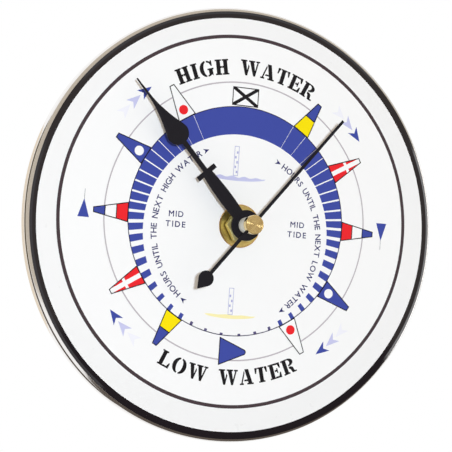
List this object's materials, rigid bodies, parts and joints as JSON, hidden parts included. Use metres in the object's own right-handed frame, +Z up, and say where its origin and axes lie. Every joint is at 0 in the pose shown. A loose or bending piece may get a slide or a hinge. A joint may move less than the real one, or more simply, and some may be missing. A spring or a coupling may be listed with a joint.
{
  "type": "tide clock",
  "caption": "Round wall-hung tide clock: a printed dial disc clamped by a nut on a battery movement, with a spade tide hand geared to the lunar half-day and a slim seconds hand.",
  "frame": {"origin": "on the hands' axis, at the movement's back face, which lies against the wall", "axes": "+Z up to twelve o'clock, +X to three o'clock, +Y from the dial into the wall"},
  "size_m": [0.16, 0.038, 0.1599],
  "materials": {
    "disc_metal": "polished edge, satin back",
    "film_print": "white printed film with a charcoal border",
    "sheet_print": "white printed sheet, satin",
    "rubber": "matt",
    "brass": "turned and polished",
    "case_plastic": "fine moulded grain",
    "cover_plastic": "fine moulded grain",
    "bridge_plastic": "natural moulding",
    "wheel_plastic": "natural acetal",
    "steel": "stamped and drawn",
    "spring_bronze": "rolled strip",
    "copper_winding": "enamelled wire",
    "board": "printed board",
    "resin": "resin drop",
    "battery_jacket": "plain wrapped cell",
    "magnet": "sintered",
    "hand_black": "black lacquer, satin",
    "bush_white": "white moulding"
  },
  "bodies": {
    "clock_case": {"dial_disc": "disc_metal", "face_film": "film_print", "dial_sheet": "sheet_print", "gasket": "rubber", "brass_washer": "brass", "hex_nut": "brass", "front_housing": "case_plastic", "rear_cover": "cover_plastic", "train_bridge": "bridge_plastic", "stator": "steel", "coil_core": "steel", "coil_bobbin": "bridge_plastic", "coil_winding": "copper_winding", "circuit_board": "board", "timing_chip": "resin", "quartz_crystal": "steel", "negative_contact": "steel", "positive_contact": "steel", "battery_can": "battery_jacket", "battery_nub": "steel", "train_screws": "steel"},
    "seconds_group": {"seconds_wheel": "wheel_plastic", "seconds_arbor": "steel", "seconds_hand": "hand_black", "seconds_cap": "brass"},
    "fifth_group": {"fifth_wheel": "wheel_plastic"},
    "rotor_group": {"rotor_pinion": "wheel_plastic", "rotor_magnet": "magnet"},
    "third_group": {"third_wheel": "wheel_plastic"},
    "centre_wheel_group": {"centre_wheel": "wheel_plastic"},
    "tide_group": {"tide_wheel": "wheel_plastic", "tide_hand": "hand_black", "tide_hand_collet": "hand_black", "spacer_bush": "bush_white"},
    "transfer_group": {"transfer_wheel": "wheel_plastic"},
    "centre_pinion_group": {"centre_pinion": "wheel_plastic", "clutch_spring": "spring_bronze"},
    "setting_group": {"setting_arbor": "wheel_plastic", "setting_knob": "cover_plastic"}
  },
  "joints": [
    {"name": "seconds_spin", "type": "hinge", "parent": "clock_case", "child": "seconds_group", "pos_m": [0, -0.008, 0], "axis": [0, 1, 0], "continuous": true},
    {"name": "fifth_spin", "type": "hinge", "parent": "clock_case", "child": "fifth_group", "pos_m": [0.00968, -0.008, -0.00153], "axis": [0, 1, 0], "continuous": true},
    {"name": "rotor_spin", "type": "hinge", "parent": "clock_case", "child": "rotor_group", "pos_m": [0.01446, -0.008, -0.00195], "axis": [0, 1, 0], "continuous": true},
    {"name": "third_spin", "type": "hinge", "parent": "clock_case", "child": "third_group", "pos_m": [-0.00972, -0.008, 0], "axis": [0, 1, 0], "continuous": true},
    {"name": "centre_wheel_spin", "type": "hinge", "parent": "clock_case", "child": "centre_wheel_group", "pos_m": [0, -0.008, 0], "axis": [0, 1, 0], "continuous": true},
    {"name": "tide_spin", "type": "hinge", "parent": "clock_case", "child": "tide_group", "pos_m": [0, -0.008, 0], "axis": [0, 1, 0], "continuous": true},
    {"name": "transfer_spin", "type": "hinge", "parent": "clock_case", "child": "transfer_group", "pos_m": [0, -0.008, 0.0078], "axis": [0, 1, 0], "continuous": true},
    {"name": "centre_pinion_spin", "type": "hinge", "parent": "clock_case", "child": "centre_pinion_group", "pos_m": [0, -0.008, 0], "axis": [0, 1, 0], "continuous": true},
    {"name": "setting_spin", "type": "hinge", "parent": "clock_case", "child": "setting_group", "pos_m": [0, -0.008, 0.01575], "axis": [0, 1, 0], "continuous": true}
  ],
  "couplings": [
    {"joint": "fifth_spin", "follows": "seconds_spin", "ratio": -6},
    {"joint": "rotor_spin", "follows": "seconds_spin", "ratio": 30},
    {"joint": "third_spin", "follows": "seconds_spin", "ratio": -0.125},
    {"joint": "centre_wheel_spin", "follows": "seconds_spin", "ratio": 0.016667},
    {"joint": "transfer_spin", "follows": "tide_spin", "ratio": -3.3333},
    {"joint": "centre_pinion_spin", "follows": "tide_spin", "ratio": 12.424},
    {"joint": "setting_spin", "follows": "tide_spin", "ratio": 11.389}
  ]
}
